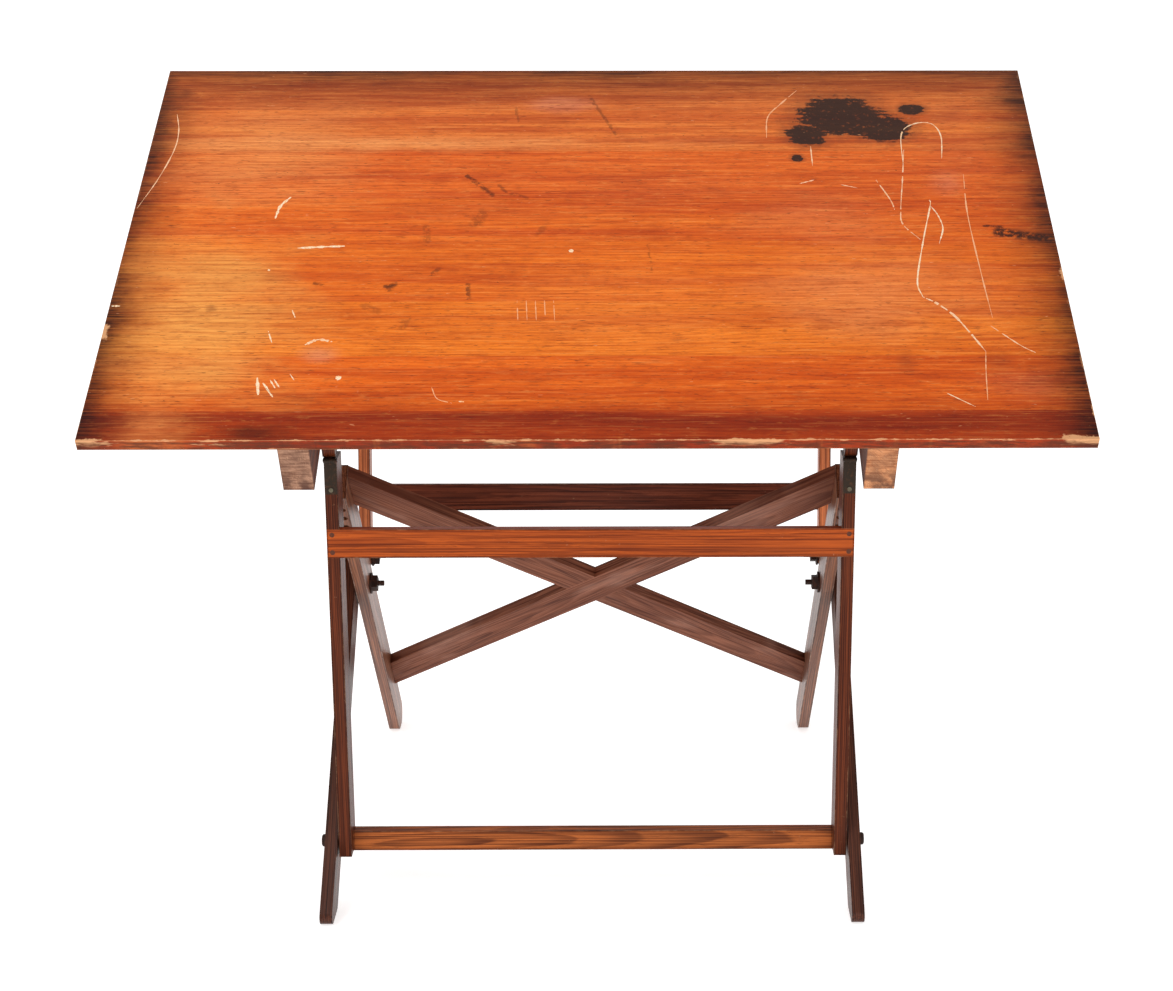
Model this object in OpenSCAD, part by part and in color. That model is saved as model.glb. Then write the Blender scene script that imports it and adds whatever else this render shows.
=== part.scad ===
// Folding-leg drafting table: a plank board on a hinged front frame, with crossed
// legs, a cross-braced inner leg frame and a slotted tilt prop at the rear.
// Millimetres, +Z up, X across the width, -Y towards the draughtsman.
// Side-view points are written as [y, z], measured from a datum at the front feet.

/* [Board] */
// Width of the board, left to right
board_w = 1524; // [1300:1:1600]
// Thickness of the board
board_t = 19; // [17:0.5:21]
// Slope of the board above level
board_tilt = 30; // [28:0.5:31]
// Width of each cleat under the board
cleat_w = 47; // [40:1:52]
// Height of each cleat under the board
cleat_h = 86; // [80:1:90]
// Width of the slot in each cleat
slot_w = 20; // [19:0.5:22]
// Distance from the front edge to the front end of the slot
slot_front = 595; // [585:1:598]
// Distance from the front edge to the rear end of the slot
slot_rear = 880; // [877:1:900]

/* [Legs] */
// Thickness of the leg and upright stock
stock = 20.5; // [19:0.1:21.5]
// Outside width across the outer legs
legs_w = 878; // [840:1:900]
// Thickness of the washer gap between the leg layers
layer_gap = 2; // [1.5:0.1:2.5]
// Depth of the outer legs
outer_leg_d = 59; // [56:1:62]
// Depth of the inner legs
inner_leg_d = 63.5; // [60:0.5:66]
// Slope of the outer legs above the floor
outer_leg_angle = 44.7; // [44.2:0.1:45.2]
// Slope of the inner legs above the floor, leaning forward
inner_leg_angle = 45.1; // [44.6:0.1:45.6]
// Distance between the lower pivot and the cross pivot
cross_reach = 477.1; // [474:0.1:480]
// Distance between the lower pivot and the rear pivot
rear_reach = 532.1; // [530:0.1:535]

/* [Front frame] */
// Depth of the front uprights
upright_d = 54; // [50:1:55]
// Height of the lower pivot above the floor
lower_pivot_z = 96; // [92:1:100]
// Height of the board hinge above the floor
hinge_z = 753; // [750:1:756]
// Height of the front top rail and of the rear rail
rail_h = 47; // [42:1:50]
// Thickness of the front top rail and of the rear rail
rail_t = 15; // [13:0.5:17]
// Height of the lower rail
lower_rail_h = 34; // [30:1:38]

/* [Rear prop] */
// Depth of the rear uprights
prop_d = 33; // [30:1:34]
// Backward lean of the rear uprights from plumb
prop_lean = 10; // [9.5:0.1:10.5]

/* [Brace] */
// Width of each brace board
brace_w = 69; // [60:1:72]
// Thickness of each brace board
brace_t = 20; // [16:1:21]

/* [Hardware] */
// Diameter of the pivot bolts
bolt_d = 9.5; // [8:0.5:10]
// Diameter of the tilt bolts
tilt_bolt_d = 8; // [7:0.5:9]
// Diameter of the hinge pins
hinge_pin_d = 4.6; // [4:0.1:5]

/* [Hidden] */
$fn = 64;

// Radial clearance of a turning bolt, and the gap that keeps moving faces apart
run_clear = 0.05;
face_gap = 0.4;

// Widths of the edge-glued planks, front to back
plank_widths = [63, 123, 130, 151, 114, 130, 120, 121];
function total(list, n) = n == 0 ? 0 : list[n - 1] + total(list, n - 1);
board_d = total(plank_widths, len(plank_widths));

// Layers across the width, as distances from the centre plane to inner and outer faces
outer_out = legs_w / 2;
outer_in = outer_out - stock;
layer_out = outer_in - layer_gap;
layer_in = layer_out - stock;
cleat_in = layer_out + 1;
cleat_out = cleat_in + cleat_w;

// Side-view pivots, [y, z]
upright_front = 78;
upright_rear = upright_front + upright_d;
leg_dir = [cos(outer_leg_angle), sin(outer_leg_angle)];
lower_pivot = [upright_front + upright_d / 2 - 1, lower_pivot_z];
cross_pivot = lower_pivot + cross_reach * leg_dir;
rear_pivot = lower_pivot + rear_reach * leg_dir;
knuckle_out = 5;
hinge_pivot = [upright_front - knuckle_out, hinge_z];

// The board's own axes in the side view: along its slope, and square up from its face
slope = [cos(board_tilt), sin(board_tilt)];
square_up = [-sin(board_tilt), cos(board_tilt)];
hinge_back = 91.1;
hinge_drop = 132.3;
board_front = hinge_pivot - hinge_back * slope + hinge_drop * square_up;

// Front floor corner of each leg before rounding, and the legs' lengths along that edge
function front_corner(pivot, lean, depth) =
    pivot[0] - pivot[1] / tan(lean) - depth / 2 / sin(lean);
function station(pivot, corner, lean) = (pivot[0] - corner) * cos(lean) + pivot[1] * sin(lean);
outer_corner = front_corner(lower_pivot, outer_leg_angle, outer_leg_d);
outer_len = station(rear_pivot, outer_corner, outer_leg_angle);
inner_turn = 180 - inner_leg_angle;
inner_corner = front_corner(cross_pivot, inner_turn, inner_leg_d);
inner_len = station(cross_pivot, inner_corner, inner_turn) + 360;
outer_toe_r = 13;
outer_heel_r = 18;
inner_toe_r = 20;
inner_heel_r = 24;
inner_heel = inner_corner + inner_leg_d / sin(inner_turn);
rear_most = inner_heel - inner_heel_r / tan(inner_leg_angle / 2) + inner_heel_r;

// Rear prop: its top bolt lies on the slot's centre line under the board
slot_drop = board_t + 45;
prop_dir = [sin(prop_lean), cos(prop_lean)];
prop_turn = 90 - prop_lean;
slot_line = board_front - slot_drop * square_up;
cross_2d = prop_dir[0] * slope[1] - prop_dir[1] * slope[0];
prop_len = ((slot_line[0] - rear_pivot[0]) * slope[1] - (slot_line[1] - rear_pivot[1]) * slope[0])
    / cross_2d;
tilt_pivot = rear_pivot + prop_len * prop_dir;

// The origin is midway between the board's front edge and the rear feet, on the floor
y_mid = (board_front[0] + rear_most) / 2;

// Frame details
upright_base = lower_pivot_z - 18;
upright_top = hinge_z;
top_rail_z = 592;
lower_rail_y = upright_front + 25;
lower_rail_t = 20.5;
rear_rail_s = 80;
socket_first = 266;
socket_pitch = 28;
socket_count = 3;
socket_d = 12;
hook_d = 8;
brace_upper_s = 311;
brace_lower_s = -406;
brace_mid = brace_t / 2 - inner_leg_d / 2;
plug_inset = 8.5;
plug_d = 8;

// Colours
board_wood = [0.74, 0.38, 0.15];
rail_wood = [0.60, 0.27, 0.10];
leg_wood = [0.36, 0.17, 0.10];
brace_wood = [0.46, 0.33, 0.26];
steel = [0.22, 0.18, 0.16];
leaf_paint = [0.15, 0.18, 0.14];

// ---------- placing ----------

// Side-view outline [y, z] given thickness along X from x
module side(x, thick) {
    translate([x, -y_mid, 0]) rotate([90, 0, 90]) linear_extrude(thick) children();
}

// Round bar along X from x, at a side-view point
module pin(point, x, length, d) {
    translate([x, point[0] - y_mid, point[1]]) rotate([0, 90, 0]) cylinder(d = d, h = length);
}

// Local axes: X, along the slope from the front edge, and up from the board's face
module on_board() {
    translate([0, board_front[0] - y_mid, board_front[1]]) rotate([board_tilt, 0, 0]) children();
}

// Local axes: X, along the inner legs from the cross pivot, and out of their front edges
module on_inner_legs() {
    translate([0, cross_pivot[0] - y_mid, cross_pivot[1]]) rotate([inner_turn, 0, 0]) children();
}

// Local axes: X, up the rear uprights from the rear pivot, and out of their front edges
module on_prop() {
    translate([0, rear_pivot[0] - y_mid, rear_pivot[1]]) rotate([prop_turn, 0, 0]) children();
}

module both_sides() {
    children();
    mirror([1, 0, 0]) children();
}

// ---------- shared shapes ----------

// Bar with half-round ends between two side-view points
module bar_2d(from, to, width) {
    run = to - from;
    translate(from) rotate(atan2(run[1], run[0])) {
        translate([0, -width / 2]) square([norm(run), width]);
        circle(d = width);
        translate([norm(run), 0]) circle(d = width);
    }
}

// Leg standing on the floor: a sloping bar cut level at the foot, its foot corners rounded
module leg_2d(corner, lean, depth, length, toe_r, heel_r) {
    up = [cos(lean), sin(lean)];
    heel = corner + depth / sin(lean);
    toe_cut = toe_r / tan(lean / 2);
    heel_cut = heel_r / tan((180 - lean) / 2);
    top = [corner, 0] + length * up;
    polygon([
        [corner + toe_cut, 0],
        [heel - heel_cut, 0],
        [heel, 0] + heel_cut * up,
        top + depth * [up[1], -up[0]],
        top,
        [corner, 0] + toe_cut * up
    ]);
    translate([corner + toe_cut, toe_r]) circle(r = toe_r - 0.03);
    translate([heel - heel_cut, heel_r]) circle(r = heel_r - 0.03);
}

// Dome-headed bolt along +X: the head's face at x, the shank running inwards
module dome_bolt(point, x, length, d, head_d) {
    head_h = head_d * 0.3;
    pin(point, x - length, length, d);
    translate([x, point[0] - y_mid, point[1]]) rotate([0, 90, 0])
        rotate_extrude() intersection() {
            translate([0, head_h - head_d * 0.567]) circle(d = head_d * 1.134);
            square([head_d / 2, head_h]);
        }
}

// Flat ring along X from x
module ring(point, x, thick, outer_d, bore_d) {
    difference() {
        pin(point, x, thick, outer_d);
        pin(point, x - 1, thick + 2, bore_d);
    }
}

// Square nut along X from x, turned about its bolt
module nut(point, x, thick, flats, bore_d, turn) {
    difference() {
        translate([x, point[0] - y_mid, point[1]]) rotate([0, 90, 0]) rotate(turn)
            cylinder(d = flats * sqrt(2), h = thick, $fn = 4);
        pin(point, x - 1, thick + 2, bore_d);
    }
}

// ---------- board ----------

cleat_screw_s = [31, 125, 250, 390, 525, 935];
cleat_screw_x = cleat_in + cleat_w / 2;
screw_d = 5;
screw_head_d = 10;
screw_sink = 46;
screw_bite = 12;

module cleat_screw_shanks() {
    for (s = cleat_screw_s)
        translate([cleat_screw_x, s, -board_t - cleat_h + screw_sink])
            cylinder(d = screw_d, h = cleat_h - screw_sink + screw_bite);
}

module plank(n) {
    color(board_wood) on_board() difference() {
        translate([-board_w / 2, total(plank_widths, n), -board_t])
            cube([board_w, plank_widths[n], board_t]);
        both_sides() cleat_screw_shanks();
        if (n < 2) both_sides() block_screw_shanks();
    }
}

module cleat() {
    slot_run = slot_rear - slot_front - slot_w;
    color(brace_wood) on_board() difference() {
        translate([cleat_in, 0, -board_t - cleat_h]) cube([cleat_w, board_d, cleat_h]);
        translate([cleat_in - 1, slot_front + slot_w / 2, -slot_drop]) rotate([0, 90, 0])
            cylinder(d = slot_w, h = cleat_w + 2);
        translate([cleat_in - 1, slot_front + slot_w / 2 + slot_run, -slot_drop])
            rotate([0, 90, 0]) cylinder(d = slot_w, h = cleat_w + 2);
        translate([cleat_in - 1, slot_front + slot_w / 2, -slot_drop - slot_w / 2])
            cube([cleat_w + 2, slot_run, slot_w]);
        cleat_screw_shanks();
        for (s = cleat_screw_s)
            translate([cleat_screw_x, s, -board_t - cleat_h - 1])
                cylinder(d = screw_head_d + 2, h = screw_sink + 1);
    }
}

module cleat_screws() {
    color(steel) both_sides() on_board() {
        cleat_screw_shanks();
        for (s = cleat_screw_s)
            translate([cleat_screw_x, s, -board_t - cleat_h + screw_sink - 4])
                cylinder(d = screw_head_d, h = 4);
    }
}

// Hinge block: stands down from the board against the cleat, capped by the hinge's leaf
block_x = cleat_in - stock;
block_d = 52;
leaf_t = 2;
block_base = leaf_t + 1;
block_screw_h = 26;
block_screw_s = [hinge_back + knuckle_out + 14, hinge_back + knuckle_out + 38];

module block_screw_shanks() {
    for (s = block_screw_s)
        translate([block_x + stock / 2, s, -board_t - block_screw_h])
            cylinder(d = screw_d, h = block_screw_h + screw_bite);
}

module hinge_block() {
    color(leg_wood) on_board() difference() {
        translate([block_x, hinge_back + knuckle_out, block_base - hinge_drop])
            cube([stock, block_d, hinge_drop - block_base - board_t]);
        block_screw_shanks();
        for (s = block_screw_s)
            translate([block_x + stock / 2, s, -hinge_drop])
                cylinder(d = screw_head_d, h = hinge_drop - board_t - block_screw_h);
    }
}

module block_screws() {
    color(steel) both_sides() on_board() {
        block_screw_shanks();
        for (s = block_screw_s)
            translate([block_x + stock / 2, s, -board_t - block_screw_h - 4])
                cylinder(d = screw_head_d, h = 4);
    }
}

// ---------- hinges ----------

knuckle_r = 4.6;
hinge_x = layer_in + 0.6;
knuckle_w = 6.2;
knuckle_gap = 0.35;
leaf_w = 3 * knuckle_w + 2 * knuckle_gap;
middle_x = hinge_x + knuckle_w + knuckle_gap;
leaf_clear = knuckle_r + 0.5;

// Upper leaf: the middle knuckle, with a plate under the end of the hinge block
module upper_hinge_leaf() {
    difference() {
        union() {
            pin(hinge_pivot, middle_x, knuckle_w, 2 * knuckle_r);
            on_board() {
                translate([middle_x, hinge_back, 1 - hinge_drop])
                    cube([knuckle_w, leaf_clear + 2, leaf_t]);
                translate([hinge_x, hinge_back + leaf_clear, 1 - hinge_drop])
                    cube([leaf_w, 40, leaf_t]);
            }
        }
        pin(hinge_pivot, middle_x - 1, knuckle_w + 2, hinge_pin_d + 2 * run_clear);
        on_board() for (s = block_screw_s)
            translate([block_x + stock / 2, s, -hinge_drop]) cylinder(d = screw_head_d, h = 5);
    }
}

module upper_hinge_leaves() {
    color(leaf_paint) both_sides() upper_hinge_leaf();
}

// Lower leaf: the outer knuckles, with a plate down the upright's front face
leaf_base = 697;
leaf_screw_z = 704;

module lower_hinge_leaf() {
    difference() {
        union() {
            for (x = [hinge_x, hinge_x + leaf_w - knuckle_w]) {
                pin(hinge_pivot, x, knuckle_w, 2 * knuckle_r);
                side(x, knuckle_w) translate([upright_front - leaf_t, hinge_z - 8])
                    square([leaf_t, 8]);
            }
            side(hinge_x, leaf_w) translate([upright_front - leaf_t, leaf_base])
                square([leaf_t, hinge_z - leaf_clear - leaf_base]);
        }
        pin(hinge_pivot, hinge_x - 1, leaf_w + 2, hinge_pin_d);
        leaf_screw_shank();
    }
}

module lower_hinge_leaves() {
    color(leaf_paint) both_sides() lower_hinge_leaf();
}

module hinge_pins() {
    color(steel) both_sides() {
        pin(hinge_pivot, hinge_x - 1, leaf_w + 2, hinge_pin_d);
        pin(hinge_pivot, hinge_x - 2, 1.7, hinge_pin_d + 2);
    }
}

module leaf_screw_shank() {
    translate([hinge_x + leaf_w / 2, upright_front - 3 - y_mid, leaf_screw_z])
        rotate([-90, 0, 0]) cylinder(d = 3.5, h = 24);
}

module leaf_screws() {
    color(steel) both_sides() {
        leaf_screw_shank();
        translate([hinge_x + leaf_w / 2, upright_front - leaf_t - 1.2 - y_mid, leaf_screw_z])
            rotate([-90, 0, 0]) cylinder(d = 7, h = 1.2);
    }
}

// ---------- front frame ----------

// Catch hooks: a rod out of each upright's rear edge, its bent end facing a socket
socket_mouth = cross_pivot
    + socket_first * [cos(inner_turn), sin(inner_turn)]
    + inner_leg_d / 2 * [-sin(inner_turn), cos(inner_turn)];
hook_in = [sin(inner_turn), -cos(inner_turn)];
hook_gap = 0.4;
hook_end = 20;
hook_tip = socket_mouth - hook_gap * hook_in;
hook_bend = hook_tip - hook_end * hook_in;
hook_x = layer_in + stock / 2;

module hook_rod(from_y) {
    translate([hook_x, from_y - y_mid, hook_bend[1]]) rotate([-90, 0, 0])
        cylinder(d = hook_d, h = hook_bend[0] - from_y);
}

module catch_hooks() {
    color(steel) both_sides() {
        hook_rod(upright_rear - 22);
        translate([hook_x, hook_bend[0] - y_mid, hook_bend[1]]) {
            sphere(d = hook_d + 0.8);
            rotate([90 - inner_turn, 0, 0]) rotate([-90, 0, 0]) cylinder(d = hook_d, h = hook_end);
        }
        translate([hook_x, upright_rear - y_mid, hook_bend[1]]) rotate([-90, 0, 0])
            cylinder(d = hook_d + 6, h = 3);
    }
}

module front_upright() {
    color(leg_wood) difference() {
        side(layer_in, stock) translate([upright_front, upright_base])
            square([upright_d, upright_top - upright_base]);
        translate([layer_in - 1, upright_front - 1 - y_mid, top_rail_z])
            cube([stock + 2, rail_t + 1, rail_h]);
        pin(lower_pivot, layer_out - 17, 20, bolt_d);
        hook_rod(upright_rear - 22);
        leaf_screw_shank();
        top_rail_screw_shanks();
        lower_rail_dowel_pair();
    }
}

module front_top_rail() {
    color(rail_wood) difference() {
        translate([-layer_out, upright_front - y_mid, top_rail_z])
            cube([2 * layer_out, rail_t, rail_h]);
        both_sides() top_rail_screw_shanks();
        both_sides() for (z = top_rail_screw_z)
            translate([layer_out - plug_inset, upright_front - 1 - y_mid, z]) rotate([-90, 0, 0])
                cylinder(d = plug_d, h = 4);
    }
}

top_rail_screw_z = [top_rail_z + 9, top_rail_z + rail_h - 9];

module top_rail_screw_shanks() {
    for (z = top_rail_screw_z)
        translate([layer_out - plug_inset, upright_front + 3 - y_mid, z]) rotate([-90, 0, 0])
            cylinder(d = 4, h = 38);
}

module top_rail_screws() {
    color(steel) both_sides() {
        top_rail_screw_shanks();
        for (z = top_rail_screw_z)
            translate([layer_out - plug_inset, upright_front - y_mid, z]) rotate([-90, 0, 0])
                cylinder(d = plug_d, h = 3);
    }
}

module lower_rail_dowel_pair() {
    for (z = [upright_base + 7, upright_base + lower_rail_h - 7])
        pin([lower_rail_y + lower_rail_t / 2, z], layer_in - 18, 30, 7);
}

module front_lower_rail() {
    color(rail_wood) difference() {
        translate([-layer_in, lower_rail_y - y_mid, upright_base])
            cube([2 * layer_in, lower_rail_t, lower_rail_h]);
        both_sides() lower_rail_dowel_pair();
    }
}

module lower_rail_dowels() {
    color(board_wood) both_sides() lower_rail_dowel_pair();
}

// Lag bolts: chamfered round head outside the leg, shank into the upright
lag_head_d = 20.5;
lag_head_h = 6.5;
washer_t = 1.5;

module lower_pivot_bolts() {
    head_x = outer_out + face_gap + washer_t;
    color(steel) both_sides() {
        pin(lower_pivot, layer_out - 17, head_x - layer_out + 17, bolt_d);
        translate([head_x, lower_pivot[0] - y_mid, lower_pivot[1]]) rotate([0, 90, 0]) {
            cylinder(d = lag_head_d, h = lag_head_h - 2);
            translate([0, 0, lag_head_h - 2])
                cylinder(d1 = lag_head_d, d2 = lag_head_d - 4, h = 2);
        }
    }
}

module lower_pivot_washers() {
    color(steel) both_sides() {
        ring(lower_pivot, outer_out + face_gap, washer_t, 24, bolt_d);
        ring(lower_pivot, layer_out, layer_gap - face_gap, 24, bolt_d);
    }
}

// ---------- outer legs ----------

// Upper end of the outer leg: a part-round nose about the rear pivot
module outer_leg_end_2d() {
    nose_r = outer_leg_d / 2;
    translate(rear_pivot) rotate(outer_leg_angle) {
        translate([-8 - nose_r, -nose_r + 0.05]) square([8 + nose_r, outer_leg_d - 0.1]);
        circle(r = nose_r - 0.05);
    }
}

module outer_leg() {
    color(leg_wood) difference() {
        side(outer_in, stock) {
            leg_2d(outer_corner, outer_leg_angle, outer_leg_d, outer_len - 8, outer_toe_r,
                outer_heel_r);
            outer_leg_end_2d();
        }
        pin(lower_pivot, outer_in - 1, stock + 2, bolt_d + 2 * run_clear);
        pin(cross_pivot, outer_in - 1, stock + 2, bolt_d);
        pin(rear_pivot, outer_in - 1, stock + 2, bolt_d + 2 * run_clear);
    }
}

// Cross pivot: dome head outside, washer, nut and bolt end showing inside
cross_washer_d = 37;
cross_washer_t = 3;
cross_nut_t = 10;
cross_nut_flats = 22;
bolt_end = 11;

module cross_pivot_bolts() {
    inner_end = layer_in - face_gap - cross_washer_t - cross_nut_t - bolt_end;
    color(steel) both_sides()
        dome_bolt(cross_pivot, outer_out, outer_out - inner_end, bolt_d, 24);
}

module cross_pivot_spacers() {
    color(steel) both_sides()
        ring(cross_pivot, layer_out + face_gap, layer_gap - face_gap, 28, bolt_d);
}

module cross_pivot_washers() {
    color(steel) both_sides()
        ring(cross_pivot, layer_in - face_gap - cross_washer_t, cross_washer_t, cross_washer_d, bolt_d);
}

module cross_nut(point, turn) {
    nut(point, layer_in - face_gap - cross_washer_t - cross_nut_t, cross_nut_t, cross_nut_flats,
        bolt_d, turn);
}

module cross_pivot_nuts() {
    color(steel) {
        cross_nut(cross_pivot, 38);
        mirror([1, 0, 0]) cross_nut(cross_pivot, 8);
    }
}

// ---------- inner legs and brace ----------

brace_screw_x = layer_in + stock;

// Row of catch sockets along the inner leg's front edge
module socket_row() {
    for (n = [0 : socket_count - 1])
        translate([layer_in + stock / 2, socket_first + n * socket_pitch, inner_leg_d / 2 - 14])
            cylinder(d = socket_d, h = 20);
}

brace_screw_s = [brace_upper_s - 20, brace_upper_s + 20, brace_lower_s - 20, brace_lower_s + 20];

module brace_screw_shanks() {
    for (s = brace_screw_s)
        translate([layer_in - 24, s, brace_mid]) rotate([0, 90, 0])
            cylinder(d = 4.5, h = stock + 22);
}

module inner_leg() {
    color(brace_wood) difference() {
        side(layer_in, stock)
            leg_2d(inner_corner, inner_turn, inner_leg_d, inner_len, inner_toe_r, inner_heel_r);
        pin(cross_pivot, layer_in - 1, stock + 2, bolt_d + 2 * run_clear);
        on_inner_legs() {
            socket_row();
            brace_screw_shanks();
            for (s = brace_screw_s)
                translate([brace_screw_x - 3, s, brace_mid]) rotate([0, 90, 0])
                    cylinder(d = 9, h = 4);
        }
    }
}

// Outline of a brace board in the plane of the inner legs; rise is +1 or -1
module brace_2d(rise, reach) {
    mid = (brace_upper_s + brace_lower_s) / 2;
    half_run = (brace_upper_s - brace_lower_s) / 2 * rise;
    half_cut = brace_w / 2 / cos(atan(half_run / layer_in));
    scale_out = reach / layer_in;
    polygon([
        [-reach, mid - half_run * scale_out - half_cut],
        [reach, mid + half_run * scale_out - half_cut],
        [reach, mid + half_run * scale_out + half_cut],
        [-reach, mid - half_run * scale_out + half_cut]
    ]);
}

// Brace boards halve into each other; the rising one keeps its front face whole
module brace(rise) {
    cut_z = rise > 0 ? -brace_t / 2 - 1 : 0;
    color(brace_wood) on_inner_legs() difference() {
        translate([0, 0, brace_mid - brace_t / 2]) linear_extrude(brace_t)
            brace_2d(rise, layer_in);
        translate([0, 0, brace_mid + cut_z]) linear_extrude(brace_t / 2 + 1)
            brace_2d(-rise, layer_in + 2);
        both_sides() brace_screw_shanks();
    }
}

module brace_end_screws() {
    color(steel) both_sides() on_inner_legs() {
        brace_screw_shanks();
        for (s = brace_screw_s)
            translate([brace_screw_x - 3, s, brace_mid]) rotate([0, 90, 0])
                cylinder(d = 9, h = 2.6);
    }
}

// ---------- rear prop ----------

module rear_upright() {
    color(leg_wood) difference() {
        side(layer_in, stock) bar_2d(rear_pivot, tilt_pivot, prop_d);
        pin(rear_pivot, layer_in - 1, stock + 2, bolt_d + 2 * run_clear);
        pin(tilt_pivot, layer_in - 1, stock + 2, tilt_bolt_d);
        on_prop() {
            translate([layer_in - 1, rear_rail_s, -prop_d / 2 - 1])
                cube([stock + 2, rail_h, rail_t + 1]);
            rear_rail_screw_shanks();
        }
    }
}

rear_rail_screw_s = [rear_rail_s + 9, rear_rail_s + rail_h - 9];

module rear_rail_screw_shanks() {
    for (s = rear_rail_screw_s)
        translate([layer_out - plug_inset, s, -prop_d / 2]) cylinder(d = 4, h = prop_d - 5);
}

module rear_rail_screw_heads(below) {
    for (s = rear_rail_screw_s)
        translate([layer_out - plug_inset, s, -prop_d / 2 - below]) cylinder(d = plug_d, h = 3 + below);
}

module rear_rail() {
    color(leg_wood) on_prop() difference() {
        translate([-layer_out, rear_rail_s, -prop_d / 2]) cube([2 * layer_out, rail_h, rail_t]);
        both_sides() rear_rail_screw_shanks();
        both_sides() rear_rail_screw_heads(1);
    }
}

module rear_rail_screws() {
    color(steel) both_sides() on_prop() {
        rear_rail_screw_shanks();
        rear_rail_screw_heads(0);
    }
}

module rear_pivot_bolts() {
    inner_end = layer_in - face_gap - cross_washer_t - cross_nut_t - bolt_end;
    color(steel) both_sides()
        dome_bolt(rear_pivot, outer_out + face_gap, outer_out + face_gap - inner_end, bolt_d, 24);
}

module rear_pivot_spacers() {
    color(steel) both_sides()
        ring(rear_pivot, layer_out + face_gap, layer_gap - 2 * face_gap, 24, bolt_d);
}

module rear_pivot_washers() {
    color(steel) both_sides()
        ring(rear_pivot, layer_in - face_gap - cross_washer_t, cross_washer_t, cross_washer_d, bolt_d);
}

module rear_pivot_nuts() {
    color(steel) {
        cross_nut(rear_pivot, 20);
        mirror([1, 0, 0]) cross_nut(rear_pivot, 65);
    }
}

// Tilt bolts: head against the rear upright, shank through the cleat's slot
tilt_washer_d = 40;
tilt_head_h = 5.5;
wing_x = cleat_out + face_gap + washer_t;
wing_hub_t = 12;

module tilt_bolts() {
    color(steel) both_sides() {
        pin(tilt_pivot, layer_in, wing_x + wing_hub_t + 6 - layer_in, tilt_bolt_d);
        translate([layer_in - tilt_head_h, tilt_pivot[0] - y_mid, tilt_pivot[1]]) rotate([0, 90, 0])
            cylinder(d = 15, h = tilt_head_h, $fn = 6);
    }
}

module tilt_washers() {
    color(steel) both_sides()
        ring(tilt_pivot, cleat_out + face_gap, washer_t, tilt_washer_d, tilt_bolt_d);
}

module wing_nut() {
    wing_span = 21;
    color(steel) translate([wing_x + 0.2, tilt_pivot[0] - y_mid, tilt_pivot[1]]) rotate([0, 90, 0])
        difference() {
            union() {
                cylinder(d = 16, h = wing_hub_t);
                for (turn = [0, 180]) rotate([0, 0, turn]) {
                    translate([4, -2, 3]) cube([wing_span - 8, 4, 9]);
                    translate([wing_span - 6, 2, 10]) rotate([90, 0, 0]) cylinder(d = 13, h = 4);
                }
            }
            translate([0, 0, -1]) cylinder(d = tilt_bolt_d + 2 * run_clear, h = wing_hub_t + 2);
        }
}

module mirrored() {
    mirror([1, 0, 0]) children();
}

plank(0);  // plank_1
plank(1);  // plank_2
plank(2);  // plank_3
plank(3);  // plank_4
plank(4);  // plank_5
plank(5);  // plank_6
plank(6);  // plank_7
plank(7);  // plank_8
mirrored() cleat();  // cleat_left
cleat();  // cleat_right
cleat_screws();
mirrored() hinge_block();  // hinge_block_left
hinge_block();  // hinge_block_right
block_screws();
upper_hinge_leaves();
lower_hinge_leaves();
hinge_pins();
leaf_screws();
mirrored() front_upright();  // front_upright_left
front_upright();  // front_upright_right
front_top_rail();
front_lower_rail();
top_rail_screws();
lower_rail_dowels();
catch_hooks();
lower_pivot_bolts();
lower_pivot_washers();
mirrored() outer_leg();  // outer_leg_left
outer_leg();  // outer_leg_right
cross_pivot_bolts();
cross_pivot_spacers();
cross_pivot_washers();
cross_pivot_nuts();
mirrored() inner_leg();  // inner_leg_left
inner_leg();  // inner_leg_right
brace(1);  // brace_rising
brace(-1);  // brace_falling
brace_end_screws();
mirrored() rear_upright();  // rear_upright_left
rear_upright();  // rear_upright_right
rear_rail();
rear_rail_screws();
rear_pivot_bolts();
rear_pivot_spacers();
rear_pivot_washers();
rear_pivot_nuts();
tilt_bolts();
tilt_washers();
mirrored() wing_nut();  // wing_nut_left
wing_nut();  // wing_nut_right
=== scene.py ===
"""Looks for a worn wooden drafting table: old varnish, oak grain, paint marks and dark iron."""

import math
import random

import bpy
import numpy as np
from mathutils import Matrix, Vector


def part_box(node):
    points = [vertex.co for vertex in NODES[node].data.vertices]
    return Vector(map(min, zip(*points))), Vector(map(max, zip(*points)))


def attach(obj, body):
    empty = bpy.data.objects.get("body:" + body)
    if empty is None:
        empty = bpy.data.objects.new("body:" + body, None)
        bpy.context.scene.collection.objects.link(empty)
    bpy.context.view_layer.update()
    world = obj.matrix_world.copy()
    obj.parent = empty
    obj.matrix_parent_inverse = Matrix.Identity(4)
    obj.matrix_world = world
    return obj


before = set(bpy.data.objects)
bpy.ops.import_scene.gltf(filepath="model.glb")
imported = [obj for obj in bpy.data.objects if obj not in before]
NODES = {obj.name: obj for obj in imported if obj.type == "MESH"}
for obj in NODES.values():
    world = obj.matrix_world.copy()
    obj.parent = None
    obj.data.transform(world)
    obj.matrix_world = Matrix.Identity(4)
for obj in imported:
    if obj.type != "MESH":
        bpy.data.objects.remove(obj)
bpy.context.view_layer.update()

# ---------------------------------------------------------------- local frames
# Each wooden member has its own straight frame: X across the table, Y along the member's slope,
# and Z out of it. A place is such a frame's (origin, angle about X).

BOARD_T = 0.019
BOARD_TILT = math.radians(30.0)
OUTER_LEG_ANGLE = math.radians(44.7)
INNER_LEG_ANGLE = math.radians(134.9)
PROP_ANGLE = math.radians(80.0)
UPRIGHT_ANGLE = math.radians(90.0)
HINGE_BLOCK_ANGLE = math.radians(120.0)


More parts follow.
